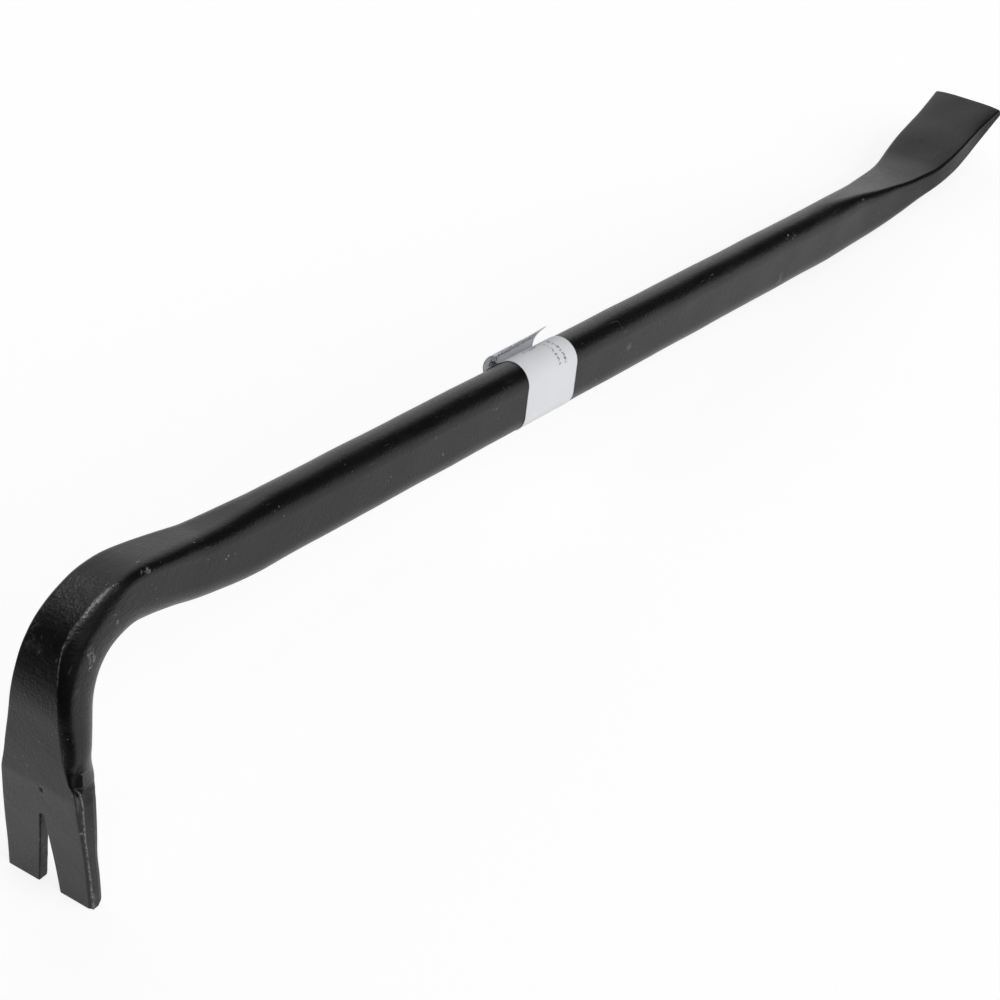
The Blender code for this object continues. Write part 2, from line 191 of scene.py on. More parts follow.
# %% Near edge rows
NEAR_ROWS = (
    (0.0, 0.5, 0.0, -0.5),
    (22.0, 0.4, 0.0, -0.6),
    (34.0, 0.3, 0.0, -0.7),
    (42.0, 0.3, 0.0, -0.4),
    (46.0, 0.0, 0.0, 0.0),
    (51.0, -0.3, 0.0, 0.0),
    (53.5, 0.5, 0.0, 0.0),
    (58.5, 1.0, 0.0, 0.0),
    (62.0, 1.15, 0.0, 0.0),
    (74.0, 1.2, 0.0, 0.0),
    (79.0, 0.9, 0.0, 0.0),
    (83.0, 1.1, 0.0, 0.0),
    (87.0, 1.65, 0.0, 0.0),
    (90.2, 2.1, 0.0, 0.1),
    (94.0, 2.1, 0.1, 0.2),
    (97.5, 1.5, 0.1, 0.4),
    (100.0, 0.7, 0.6, 1.2),
    (103.0, 0.2, 0.9, 1.8),
    (107.0, 0.1, 0.8, 1.8),
    (112.0, 0.1, 0.8, 1.4),
    (118.0, 0.0, 0.9, 0.0),
    (128.0, 0.0, 1.6, -0.4),
    (140.0, 0.0, 2.2, 0.0),
    (152.0, 0.0, 1.8, 0.5),
    (165.0, 0.0, 1.0, 0.3),
    (185.0, 0.0, 0.3, 0.0),
    (205.0, 0.0, 0.0, 0.0),
    (BAR_END - 110, 0.0, 0.0, 0.0),
    (BAR_END - 60, 0.3, -0.4, -0.8),
    (BAR_END - 40, 0.4, -0.7, -0.9),
    (BAR_END - 28, 0.9, -0.8, -0.9),
    (BAR_END - 14, 1.4, -0.9, -0.7),
    (BAR_END, 1.3, -0.9, -0.5),
)
NEAR_EDGE = np.array(NEAR_ROWS)
print("near edge rows", len(NEAR_EDGE))

# %% [markdown]
# ## The nail notch
#
# The claw is split by a narrow vee with a round end. Instead of cutting it out with a Boolean, which leaves
# razor edges, the surface is drawn in two mirrored halves: beside the notch each half is closed by a wall of
# its own, with small rounded edges, and past the round end the halves meet on the middle plane.

# %% Notch half-width
NOTCH_LENGTH = 33.5
NOTCH_MOUTH_HALF = 4.9
NOTCH_END_RADIUS = 0.95
NOTCH_CENTRE = NOTCH_LENGTH - NOTCH_END_RADIUS
NOTCH_LEAN = math.atan2(NOTCH_MOUTH_HALF - NOTCH_END_RADIUS, NOTCH_CENTRE)
NOTCH_EDGE = 0.45
ROUND_STATIONS = 11
BEVEL_BELOW = 3.9
BEVEL_SLOPE = 1.15
BEVEL_FADE = 22.0


def notch_half(along):
    """Half the gap at each distance from the tips: a straight flank, then a circle, then zero."""
    meet = NOTCH_CENTRE + NOTCH_END_RADIUS * math.sin(NOTCH_LEAN)
    flank = NOTCH_END_RADIUS * math.cos(NOTCH_LEAN) + (meet - along) * math.tan(NOTCH_LEAN)
    drop = np.clip(along - NOTCH_CENTRE, 0, NOTCH_END_RADIUS)
    circle = np.sqrt(np.maximum(NOTCH_END_RADIUS**2 - drop**2, 0))
    return np.where(along < meet, flank, np.where(along < NOTCH_LENGTH, circle, 0.0))


notch_turn = np.linspace(0, math.pi / 2, ROUND_STATIONS)
NOTCH_STATIONS = NOTCH_CENTRE + NOTCH_END_RADIUS * np.sin(notch_turn)
NOTCH_STATIONS[-1] = NOTCH_LENGTH
print("notch", NOTCH_LENGTH, "mm long,", 2 * NOTCH_MOUTH_HALF, "mm wide at its mouth")

# %% [markdown]
# ## Corners and ends
#
# A section has an outer and an inner face, a rounded corner beside each, and a side between them. The corners
# are conics, which are true quarter ellipses when their legs are square. At the claw tips and at the blade's
# edge every face draws back along a quarter circle, so the ends are rounded too.

# %% Corners and ends
TIP_INNER_ROUND = 2.2
TIP_EDGE_ROUND = 0.45
BLADE_EDGE_ROUND = 0.5
CORNER_ROOM = 0.9
LIP_SHARE = 0.8


def smooth_step(value):
    """Zero below 0, one above 1, and v*v*(3-2v) between."""
    v = np.clip(value, 0, 1)
    return v * v * (3 - 2 * v)


def stretch(along, ends, fades):
    """One inside a stretch of the bar and zero outside it, with a smooth step over a fade inside each end."""
    return smooth_step((along - ends[0]) / fades[0]) * smooth_step((ends[1] - along) / fades[1])


def before_edge(along, length):
    """Zero until this far before the blade's edge, then a smooth step up to one at the edge."""
    return smooth_step((along - BAR_END + length) / length)


def bump(value, centre, width):
    """A Gaussian: e to the power of minus the square of the distance from the centre over the width."""
    return np.exp(-(((value - centre) / width) ** 2))


def conic(start, knee, end, steps):
    """Rounded corner between three pairs of across and outward values.

    The weights of start, knee and end are (1-t)^2, sqrt(2) t(1-t) and t^2, each over the sum of the three.
    """
    t = np.linspace(0, 1, steps + 1)
    weights = np.stack([(1 - t) ** 2, math.sqrt(2) * t * (1 - t), t**2])
    weights = weights / weights.sum(axis=0)
    corners = [np.stack(pair, 1)[:, None, :] for pair in (start, knee, end)]
    return sum(corner * weight[None, :, None] for corner, weight in zip(corners, weights))


def edge_pull(along, radius, end):
    """How far a face draws back near an end: radius minus the height of a quarter circle."""
    left = np.clip(radius - np.abs(along - end), 0, radius)
    return radius - np.sqrt(np.maximum(radius**2 - left**2, 0))


def section_values(along):
    """Values of the faces, the corners and the notch at each distance, with the ends drawn back.

    Where a section is thin, both corners shrink so that they keep clear of each other.
    """
    rise, depth, outer, inner, outer_across, outer_down, inner_across, inner_down = blended(ROWS, along).T
    tip = edge_pull(along, TIP_EDGE_ROUND, 0.0)
    edge = edge_pull(along, BLADE_EDGE_ROUND, BAR_END)
    rise = rise - tip - edge
    depth = depth - edge_pull(along, TIP_INNER_ROUND, 0.0) - edge
    outer = outer - tip - edge
    inner = inner - tip - edge
    room = np.minimum(1, CORNER_ROOM * (rise + depth) / (outer_down + inner_down))
    corners = (outer_across, outer_down * room, inner_across, inner_down * room)
    gap = notch_half(along)
    lip = np.minimum(NOTCH_EDGE, LIP_SHARE * gap)
    gap = gap + np.where(gap > 0, tip, 0)
    return (rise, depth, outer, inner), corners, (gap, lip)


def bevel(along):
    """How much wider the notch is at the inner face: its wall slopes out below a straight upper part."""
    rise, depth = section_values(along)[0][:2]
    under = np.maximum(rise + depth - BEVEL_BELOW, 0)
    return BEVEL_SLOPE * under * smooth_step((NOTCH_CENTRE - along) / BEVEL_FADE)


print("ends rounded by", BLADE_EDGE_ROUND, "to", TIP_INNER_ROUND, "mm")

# %% [markdown]
# ## The sides of the claw plate
#
# The die squeezes a fin of flash out along each side of the plate, and it is trimmed off hot. What stays is a
# fine raised line on a slight swell. Just above the plate's shoulder the side is pressed in to a shallow
# recess. The side's points stand closest together across the line.

# %% Flash and recess
BAND_STEPS = 7
RIDGE_STEPS = 10
SIDE_STEPS = 14
RIDGE_REACH = 0.7
REACH_SHARE = 0.6
FLASH_AT_TIP = 0.8
FLASH_AT_TOP = 3.5
FLASH_LENGTH = 46.0
FLASH_BEND = 4.0
FLASH_LIMITS = (0.08, 0.5)
FLASH_SWELL = 0.35
FLASH_HEIGHT = 0.38
FLASH_WIDTH = 0.22
PLATE_TOP = 50.4
PLATE_FADE = 2.2
SWELL_FADE = 9.0
SWELL_ROOM = 0.35
RECESS_FADE = 14.0
RECESS = ((PLATE_TOP - PLATE_FADE, PLATE_TOP + RECESS_FADE), (PLATE_FADE, RECESS_FADE))
RECESS_DEPTH = 1.4
RECESS_CENTRE = 2.6
RECESS_WIDTH = 1.9


def on_plate(along):
    """One on the claw plate, with a smooth step down to zero at its shoulder."""
    return smooth_step((PLATE_TOP - along) / PLATE_FADE)


def flash_line(along, corner, length):
    """How far below the outer face the line of flash runs.

    It goes deeper from the tips to the shoulder with a power of the distance, and stays between two shares of
    the side's length below the corner.
    """
    line = FLASH_AT_TIP + (FLASH_AT_TOP - FLASH_AT_TIP) * np.clip(along / FLASH_LENGTH, 0, 1) ** FLASH_BEND
    return corner + length * np.clip((line - corner) / length, *FLASH_LIMITS)


def side_levels(line, top, bottom):
    """Depths of the side's points below the outer face: even steps above, across and below the line."""
    reach = np.minimum(RIDGE_REACH, REACH_SHARE * (line - top))
    spans = (
        (top, line - reach, BAND_STEPS),
        (line - reach, line + reach, RIDGE_STEPS),
        (line + reach, bottom, SIDE_STEPS),
    )
    levels = []
    for start, end, steps in spans:
        share = np.linspace(0, 1, steps + 1)[None, :-1]
        levels.append(start[:, None] + (end - start)[:, None] * share)
    return np.concatenate(levels, axis=1)[:, 1:]


def side_relief(along, below, line, whole):
    """How far the side stands out from its plain curve: the swell and the ridge of flash, less the recess."""
    swell = FLASH_SWELL * smooth_step((PLATE_TOP + PLATE_FADE - along) / SWELL_FADE)
    swell = swell * np.minimum(below / line, 1)
    swell = swell * np.clip((whole - below) / (SWELL_ROOM * whole), 0, 1)
    ridge = FLASH_HEIGHT * on_plate(along) * bump(below, line, FLASH_WIDTH)
    hollow = RECESS_DEPTH * stretch(along, *RECESS) * bump(below, RECESS_CENTRE, RECESS_WIDTH)
    return swell + ridge - hollow


print("plate", PLATE_TOP, "mm long, with a line of flash", FLASH_HEIGHT, "mm high")

# %% [markdown]
# ## Worn paint, painted highlight and painted shade
#
# Paint rubs through first on what stands out: the line of flash, and the sharp crease on the near side of the
# hook's bend. Further round the bend a broader pale band on the near corner is a painted highlight, carried
# on the same numbers as the wear. In the recess, under the crease above it and on the notch's walls the paint
# loses its shine as painted shade. All are numbers on the section's points, so that the paint can follow the
# shape. A stretch of the bar is its two ends and its two fades.

# %% Wear of the paint, painted highlight and painted shade
FACE_STEPS = 22
CORNER_STEPS = 8
BACK_STEPS = 14
SIDE_FIRST = FACE_STEPS + CORNER_STEPS + 1
SIDE_END = SIDE_FIRST + BAND_STEPS + RIDGE_STEPS + SIDE_STEPS - 1
SECTION_POINTS = SIDE_END + CORNER_STEPS + 1 + BACK_STEPS
FLASH_WORN_MORE = 0.9
FLASH_WORN_FROM = 24.0
FLASH_WORN_FADE = 10.0
TIP_WORN = 9.0
TIP_WORN_FADE = 4.0
TIP_WORN_WIDTH = 1.2
TIP_WORN_SHARE = 0.5
# The next two lines set a painted highlight: a pale band on the near corner round the hook's bend.
PAINTED_BEND_HIGHLIGHT = ((93.0, 116.0), (4.0, 6.0))
PAINTED_BEND_HIGHLIGHT_SHARES = np.array((0.35, 0.5, 0.3, 0.15, 0.0))
CREASE_WORN = ((85.0, 101.0), (4.0, 2.0))
CREASE_WORN_POINTS = 2
# The next lines set painted shade: the paint's shine drops in the recess, under the crease and on the notch's
# walls, where shade falls.
SHADE_CREASE = ((PLATE_TOP, 92.0), (2.0, 6.0))
SHADE_CREASE_AMOUNT = 0.6
SHADE_CREASE_DEPTH = 4.0
SHADE_RECESS_AMOUNT = 2.0
SHADE_RECESS_DEPTH = 9.5
SHADE_FADE = 2.5
SHADE_CORNER_POINTS = 4
SHADE_WALL = 0.5


def worn_paint_and_highlight(along, near, below, line):
    """How worn the paint is at each point of the half section, with a painted highlight added on the near
    corner.

    On the plate it is the square root of the ridge's Gaussian, and more towards the shoulder. On the near
    side a wider Gaussian joins it at the tip. The corner's first points carry a painted highlight round the
    hook's bend and are worn along the crease.
    """
    worn_and_highlight = np.zeros((len(along), SECTION_POINTS))
    more = 1 + FLASH_WORN_MORE * smooth_step((along - FLASH_WORN_FROM) / FLASH_WORN_FADE)
    flash = more * np.sqrt(bump(below, line, FLASH_WIDTH)) * on_plate(along)
    tip = near * TIP_WORN_SHARE * smooth_step((TIP_WORN - along) / TIP_WORN_FADE)
    worn_and_highlight[:, SIDE_FIRST:SIDE_END] = np.maximum(flash, tip * bump(below, line, TIP_WORN_WIDTH))
    # Painted highlight: a pale band on the near corner round the hook's bend, kept with the wear.
    bend = near * stretch(along, *PAINTED_BEND_HIGHLIGHT)
    worn_and_highlight[:, FACE_STEPS : FACE_STEPS + len(PAINTED_BEND_HIGHLIGHT_SHARES)] = bend * PAINTED_BEND_HIGHLIGHT_SHARES
    corner = slice(FACE_STEPS, FACE_STEPS + CREASE_WORN_POINTS)
    crease = near * stretch(along, *CREASE_WORN)
    worn_and_highlight[:, corner] = np.maximum(worn_and_highlight[:, corner], crease)
    return worn_and_highlight


def painted_shade_mask(along, near, below):
    """Painted shade at each point, as paint that loses its shine: most in the recess, less under the crease
    on the near side.
    """
    recess = stretch(along, *RECESS) * smooth_step(along - PLATE_TOP)
    recess = SHADE_RECESS_AMOUNT * recess * smooth_step((SHADE_RECESS_DEPTH - below) / SHADE_FADE)
    crease = near * stretch(along, *SHADE_CREASE)
    crease = SHADE_CREASE_AMOUNT * crease * smooth_step((SHADE_CREASE_DEPTH - below) / SHADE_FADE)
    amount = np.maximum(crease, recess)
    painted_shade = np.zeros((len(along), SECTION_POINTS))
    painted_shade[:, SIDE_FIRST:SIDE_END] = amount
    painted_shade[:, SIDE_FIRST - SHADE_CORNER_POINTS : SIDE_FIRST] = amount[:, :1]
    return painted_shade


print("points of the side", SIDE_END - SIDE_FIRST)

# %% [markdown]
# ## Half a section
#
# One half of each section runs from the middle of the outer face, over a rounded corner, down the side, round
# the inner corner and back to the middle. Beside the notch it starts and ends at the notch's rounded edge.
# The blade is hammered out flat, so its sides are straight, and its outer face is left slightly crowned.

# %% Half section
FAR_POWER = 3.0
NEAR_POWER = 5.0
BLADE_SIDE_START = 75.0
BLADE_SIDE_FADE = 35.0
BLADE_INNER_TRIM = 0.6
INNER_TRIM_LENGTH = 20.0
BLADE_CROWN = 0.9
CROWN_POWER = 4
CROWN_BELOW = 0.35
CROWN_LENGTH = 90.0
FALL_LIMIT = 0.8
FACE_EVEN = 0.35


def side_power(along, near):
    """The power of the side's curve: higher on the near side, and one, a straight side, on the blade."""
    blade = smooth_step((along - BAR_END + BLADE_SIDE_START) / BLADE_SIDE_FADE)
    return (NEAR_POWER if near else FAR_POWER) * (1 - blade) + blade


def outer_face(start, end, rise, crown):
    """Points of the outer face, closer together at its middle, where the crown is highest.

    The crown's height is one minus a power of the share of the way across.
    """
    t = np.linspace(0, 1, FACE_STEPS + 1)[:-1]
    spread = FACE_EVEN * t + (1 - FACE_EVEN) * t * t
    across = start[:, None] + (end - start)[:, None] * spread
    bulge = crown[:, None] * (1 - (across / end[:, None]) ** CROWN_POWER)
    return np.stack([across, rise[:, None] + bulge], -1)


def inner_face(start, end, depth):
    """Points of the flat inner face, in even steps from its corner back to the middle or the notch."""
    t = np.linspace(1, 0, BACK_STEPS + 1)[1:]
    across = start[:, None] + (end - start)[:, None] * t
    return np.stack([across, np.repeat(-depth[:, None], BACK_STEPS, axis=1)], -1)


def half_section(along, near):
    """Across and outward position of each point of the half section, how worn the paint is with the painted
    highlight, and how much painted shade it takes.

    The side's half-width goes from the inner face's to the outer face's as a power of how near a point is to
    the outer corner. Each corner's knee lies where the side's own direction meets the face.
    """
    (rise, depth, outer, inner), corners, (gap, lip) = section_values(along)
    outer_across, outer_down, inner_across, inner_down = corners
    trim, wider, deeper = blended(NEAR_EDGE, along).T * near
    outer = outer - trim
    inner = inner - near * BLADE_INNER_TRIM * before_edge(along, INNER_TRIM_LENGTH)
    outer_across = outer_across + wider
    outer_down = outer_down + deeper
    crown = BLADE_CROWN * before_edge(along, CROWN_LENGTH)
    rise = rise - CROWN_BELOW * crown
    whole = rise + depth
    length = whole - outer_down - inner_down
    power = side_power(along, near)
    lean = power * (inner - outer) / length
    knee = outer - outer_down * lean
    face_end = knee - outer_across
    fall = np.minimum(CROWN_POWER * crown * outer_across / face_end, FALL_LIMIT * outer_down)
    face = outer_face(gap + lip, face_end, rise, crown)
    upper = conic((face_end, rise), (knee, rise - fall), (outer, rise - outer_down), CORNER_STEPS)
    line = flash_line(along, outer_down, length)
    below = side_levels(line, outer_down, whole - inner_down)
    nearness = 1 - (below - outer_down[:, None]) / length[:, None]
    width = inner[:, None] + (outer - inner)[:, None] * nearness ** power[:, None]
    width = width + side_relief(along[:, None], below, line[:, None], whole[:, None])
    side = np.stack([width, rise[:, None] - below], -1)
    lower = conic((inner, inner_down - depth), (inner, -depth), (inner - inner_across, -depth), CORNER_STEPS)
    back = inner_face(gap + lip + bevel(along), inner - inner_across, depth)
    points = np.concatenate([face, upper, side, lower, back], axis=1)
    worn_and_highlight = worn_paint_and_highlight(along[:, None], near, below, line[:, None])
    return points, worn_and_highlight, painted_shade_mask(along[:, None], near, below)


print("half section", half_section(np.array([20.0]), 0)[0].shape[1], "points")

# %% [markdown]
# ## The notch's wall
#
# Beside the notch each half is closed by a wall. It goes straight down from the outer face, then slopes out
# to the inner face, and both its edges are rounded.

# %% Notch wall
WALL_STEPS = 12
EDGE_STEPS = 4
NO_ROOM = 1e-6


def notch_wall(along):
    """The wall of one half of the notch, from the inner face to the outer face, with rounded edges."""
    (rise, depth, _, _), _, (gap, lip) = section_values(along)
    flare = bevel(along)
    wide = gap + flare
    bottom = conic((wide + lip, -depth), (wide, -depth), (wide, lip - depth), EDGE_STEPS)
    top = conic((gap, rise - lip), (gap, rise), (gap + lip, rise), EDGE_STEPS)
    t = np.linspace(0, 1, WALL_STEPS + 2)[None, 1:-1]
    level = (lip - depth)[:, None] * (1 - t) + (rise - lip)[:, None] * t
    slope_room = np.maximum(rise + depth - lip - BEVEL_BELOW, NO_ROOM)
    down = np.clip((rise[:, None] - level - BEVEL_BELOW) / slope_room[:, None], 0, 1)
    middle = np.stack([gap[:, None] + flare[:, None] * down, level], -1)
    return np.concatenate([bottom, middle, top], axis=1)


print("notch wall", notch_wall(np.array([20.0])).shape[1], "points")

# %% [markdown]
# ## Carrying the section along the line
#
# Stations are close together where the shape changes fast, at the claw and the blade, and far apart on the
# straight shaft. At both ends of the bar their spacing follows the quarter circle of the rounding.

# %% Bar surface
EVEN_STRETCHES = (
    (TIP_INNER_ROUND, NOTCH_CENTRE, 50),
    (NOTCH_LENGTH, PLATE_TOP - PLATE_FADE - 1, 26),
    (PLATE_TOP - PLATE_FADE - 1, PLATE_TOP + 1, 24),
    (PLATE_TOP + 1, 66.0, 30),
    (66.0, 245.0, 190),
    (245.0, BAR_END - 165, 90),
    (BAR_END - 165, BAR_END - BLADE_EDGE_ROUND, 150),
)
TIP_STATIONS = 9
EDGE_STATIONS = 5
SAME_PLACE = 1e-6


def bar_stations():
    """Distances of all sections: the even stretches, both rounded ends, and the notch's round end."""
    tips = TIP_INNER_ROUND * (1 - np.cos(np.linspace(0, math.pi / 2, TIP_STATIONS)))
    edge = BAR_END - BLADE_EDGE_ROUND * (1 - np.sin(np.linspace(0, math.pi / 2, EDGE_STATIONS)))
    even = [np.linspace(start, end, count) for start, end, count in EVEN_STRETCHES]
    return np.unique(np.concatenate([tips, edge, NOTCH_STATIONS, *even]).round(6))


def placed(section, along):
    """Carries sections out: centre point plus outward offset, with the across value as y."""
    centre, outward = centre_line(along)
    x = centre[:, None, 0] + section[..., 1] * outward[:, None, 0]
    z = centre[:, None, 1] + section[..., 1] * outward[:, None, 1]
    return np.stack([x, section[..., 0], z], -1)


def grid_faces(rows, columns, first):
    """Quads between neighbouring points of a rows by columns grid whose first point has index first."""
    index = first + np.arange(rows * columns).reshape(rows, columns)
    return np.stack([index[:-1, :-1], index[:-1, 1:], index[1:, 1:], index[1:, :-1]], -1).reshape(-1, 4)


along_bar = bar_stations()
beside_notch = along_bar[along_bar <= NOTCH_LENGTH + SAME_PLACE]
wall = placed(notch_wall(beside_notch), beside_notch)
wall_rows, wall_columns = wall.shape[:2]
sides = []
wear_and_highlight = []
painted_shade_amounts = []
for near in (0, 1):
    section, worn_and_highlight, painted_shade = half_section(along_bar, near)
    half = placed(section, along_bar)
    sides.append(np.concatenate([half.reshape(-1, 3), wall.reshape(-1, 3)]))
    wear_and_highlight.append(np.concatenate([worn_and_highlight.ravel(), np.zeros(wall_rows * wall_columns)]))
    # The notch's walls take painted shade as well.
    painted_shade_amounts.append(np.concatenate([painted_shade.ravel(), np.full(wall_rows * wall_columns, SHADE_WALL)]))
half_rows, half_columns = half.shape[:2]
half_count = half_rows * half_columns
half_faces = grid_faces(half_rows, half_columns, 0)
wall_faces = grid_faces(wall_rows, wall_columns, half_count)
side_faces = np.concatenate([half_faces, wall_faces])
foot = np.concatenate([np.arange(half_columns), half_count + np.arange(wall_columns)])
edge = half_count - half_columns + np.arange(half_columns)
distance_along = np.concatenate([np.repeat(along_bar, half_columns), np.repeat(beside_notch, wall_columns)])
print("each side:", len(along_bar), "sections,", len(sides[0]), "points")

# %% [markdown]
# ## Tilting the bar onto its feet
#
# The solids in the frame already stand on the floor, so the fine surface takes the same tilt: the angle at
# which the claw tips and the heel are equally low. Its place along x and z then follows from the frame's box.

# %% Tilt and place
TILT_ROUNDS = 5


def settled_tilt(points):
    """Repeats: find the lowest point at each end, and turn until both are level."""
    x = points[:, 0]
    z = points[:, 2]
    front = x < HOOK_END_X
    tilt = 0.0
    for _ in range(TILT_ROUNDS):
        height = z * math.cos(tilt) - x * math.sin(tilt)
        toe = np.argmin(np.where(front, height, np.inf))
        heel = np.argmin(np.where(front, np.inf, height))
        tilt = math.atan2(z[heel] - z[toe], x[heel] - x[toe])
    return tilt


def standing(points):
    """Shaft position in millimetres to place in the frame in metres: turn about y, then shift."""
    x = points[..., 0] * math.cos(TILT) + points[..., 2] * math.sin(TILT)
    z = points[..., 2] * math.cos(TILT) - points[..., 0] * math.sin(TILT)
    return np.stack([x + SHIFT[0], points[..., 1], z + SHIFT[1]], -1) * MILLIMETRE


TILT = settled_tilt(sides[0])
SHIFT = (0.0, 0.0)
plain = standing(sides[0])
SHIFT = (
    (cad_low.x - plain[:, 0].min()) / MILLIMETRE,
    (cad_low.z - plain[:, 2].min()) / MILLIMETRE,
)
print("tilt", round(math.degrees(TILT), 3), "degrees, shift", [round(v, 2) for v in SHIFT], "mm")

# %% [markdown]
# ## Forging marks
#
# A hand-finished forging is never quite true. Long shallow waves come from the hammer, and a punched dimple
# sits above the notch. A wave is given by its height, by how many waves a millimetre holds along x, y and z,
# and by its phase.

# %% Relief
WAVES = (
    (0.060, (1 / 61.0, 1 / 27.0, 1 / 43.0), 0.4),
    (0.030, (-1 / 37.0, 1 / 19.0, 1 / 31.0), 2.1),
    (0.010, (1 / 16.0, -1 / 21.0, 1 / 13.0), 4.0),
    (0.004, (1 / 7.0, 1 / 9.0, -1 / 8.0), 1.3),
)
DIMPLE_AT = (-1.4, 45.1)
DIMPLE_RADIUS = 1.15
DIMPLE_DEPTH = 0.55
DIMPLE_BEYOND_X = CLAW_X - 4.0
QUIET_ENDS = 6.0


def relief(points, along):
    """Sum of sine waves over the point's position, less a round bowl at the dimple on the outer face."""
    height = np.zeros(len(points))
    for size, pitch, phase in WAVES:
        height += size * np.sin(2 * math.pi * (points @ np.array(pitch)) + phase)
    ends = np.clip(along / QUIET_ENDS, 0, 1) * np.clip((BAR_END - along) / QUIET_ENDS, 0, 1)
    reach = np.hypot(points[:, 1] - DIMPLE_AT[0], along - DIMPLE_AT[1]) / DIMPLE_RADIUS
    bowl = DIMPLE_DEPTH * np.clip(1 - reach**2, 0, 1) * (points[:, 0] < DIMPLE_BEYOND_X)
    return height * ends - bowl


print("waves up to", round(sum(wave[0] for wave in WAVES), 2), "mm high")

# %% [markdown]
# ## The forging as one mesh
#
# Both halves go into one mesh. Points that coincide on the middle plane are merged, and the feet and the
# blade's edge are closed with flat faces. Then each point moves out by the height of the marks. How worn the
# skin is with the painted highlight, how much painted shade it takes, and how coarse it is stays on the
# points, for the paint to read.

# %% Forging mesh
COARSE = ((80.0, 126.0), (10.0, 14.0))
MERGE_DISTANCE = 1e-5
SHARP_ANGLE = 50
FAR_TO_NEAR = np.array([1, -1, 1])


def new_piece(name, points, faces, body, node):
    """A mesh object with its place in its points, riding on a body and standing for a CAD node."""
    mesh = bpy.data.meshes.new(name)
    mesh.from_pydata(points.tolist(), [], faces)
    mesh.update()
    item = bpy.data.objects.new(name, mesh)
    bpy.context.scene.collection.objects.link(item)
    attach(item, body)
    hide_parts(node)
    return item


def stored(items, field, width):
    """What the items of a mesh hold under one name, as rows of that many numbers."""
    values = np.zeros(len(items) * width, np.float32)
    items.foreach_get(field, values)
    return values.reshape(-1, width).astype(float)


def merge_points(mesh):
    """Joins points that share a place and turns all faces outwards."""
    work = bmesh.new()
    work.from_mesh(mesh)
    bmesh.ops.remove_doubles(work, verts=work.verts, dist=MERGE_DISTANCE)
    bmesh.ops.recalc_face_normals(work, faces=work.faces)
    work.to_mesh(mesh)
    work.free()


count = len(sides[0])
all_points = np.concatenate([sides[0], sides[1] * FAR_TO_NEAR])
all_along = np.concatenate([distance_along, distance_along])
faces = side_faces.tolist() + (side_faces[:, ::-1] + count).tolist()
faces += [foot[::-1].tolist(), (foot + count).tolist()]
faces.append(np.concatenate([edge, (edge + count)[::-1]]).tolist())
forging = new_piece("forging", all_points, faces, "root", "forged_bar")
layers = {
    "along": all_along,
    "worn_and_highlight": np.concatenate(wear_and_highlight),
    "painted_shade": np.concatenate(painted_shade_amounts),
    "coarse": stretch(all_along, *COARSE),
}
for layer, values in layers.items():
    attribute = forging.data.attributes.new(layer, "FLOAT", "POINT")
    attribute.data.foreach_set("value", values.astype(np.float32))
merge_points(forging.data)
where = stored(forging.data.vertices, "co", 3)
outward = stored(forging.data.vertex_normals, "vector", 3)
along_point = stored(forging.data.attributes["along"].data, "value", 1)[:, 0]
moved = where + outward * relief(where, along_point)[:, None]
forging.data.vertices.foreach_set("co", standing(moved).astype(np.float32).ravel())
forging.data.shade_smooth()
forging.data.set_sharp_from_angle(angle=math.radians(SHARP_ANGLE))
forging.data.update()
print("forging", len(where), "points,", len(forging.data.polygons), "faces")

# %% [markdown]
# ## Colours and nodes
#
# Colours are written as hex values and turned to the linear values that the renderer works in. One function
# adds a node, sets its values and joins its inputs, and short helpers give the nodes that come back.

# %% Material helpers
def linear(hex_colour):
    """sRGB hex to linear: c/12.92 up to 0.04045, otherwise ((c+0.055)/1.055)^2.4."""
    c = np.array([int(hex_colour[i : i + 2], 16) for i in (1, 3, 5)]) / 255
    value = np.where(c <= 0.04045, c / 12.92, ((c + 0.055) / 1.055) ** 2.4)
    return (*[float(v) for v in value], 1.0)


def input_of(node, key):
    """An input by its number, written i0, i1 and so on, or by its name with underscores for spaces."""
    if key[0] == "i" and key[1:].isdigit():
        return node.inputs[int(key[1:])]
    return node.inputs[key.replace("_", " ")]


def add(tree, kind, settings=None, **inputs):
    """Adds a node. settings are its own properties; an input is a value or another node's output."""
    node = tree.nodes.new(kind)
    for key, value in (settings or {}).items():
        setattr(node, key, value)
    for key, value in inputs.items():
        socket = input_of(node, key)
        if isinstance(value, bpy.types.NodeSocket):
            tree.links.new(value, socket)
        else:
            socket.default_value = value
    return node


def maths(tree, operation, first, second, third=0.0):
    """The result of one Math node."""
    node = add(tree, "ShaderNodeMath", {"operation": operation}, i0=first, i1=second, i2=third)
    return node.outputs["Value"]


def product(tree, first, *others):
    """All the values multiplied together."""
    for other in others:
        first = maths(tree, "MULTIPLY", first, other)
    return first


def between(tree, value, low, high, to_low=0.0, to_high=1.0, way="LINEAR"):
    """Maps the range from low to high onto another range, and holds its ends outside."""
    way = {"interpolation_type": way}
    node = add(tree, "ShaderNodeMapRange", way, Value=value, i1=low, i2=high, i3=to_low, i4=to_high)
    return node.outputs[0]


def noise(tree, place, size, detail, roughness=0.5):
    """Smooth random values with features of this many millimetres, where place is in metres."""
    scale = 1000.0 / size
    node = add(tree, "ShaderNodeTexNoise", Vector=place, Scale=scale, Detail=detail, Roughness=roughness)
    return node.outputs["Fac"]


def stretched(tree, place, scale):
    """The place scaled along x, y and z, so that a pattern on it becomes long where the scale is small."""
    return add(tree, "ShaderNodeMapping", Vector=place, Scale=scale).outputs[0]


def far_from(tree, place, centre):
    """Distance from a centre."""
    node = add(tree, "ShaderNodeVectorMath", {"operation": "DISTANCE"}, i0=place, i1=centre)
    return node.outputs["Value"]


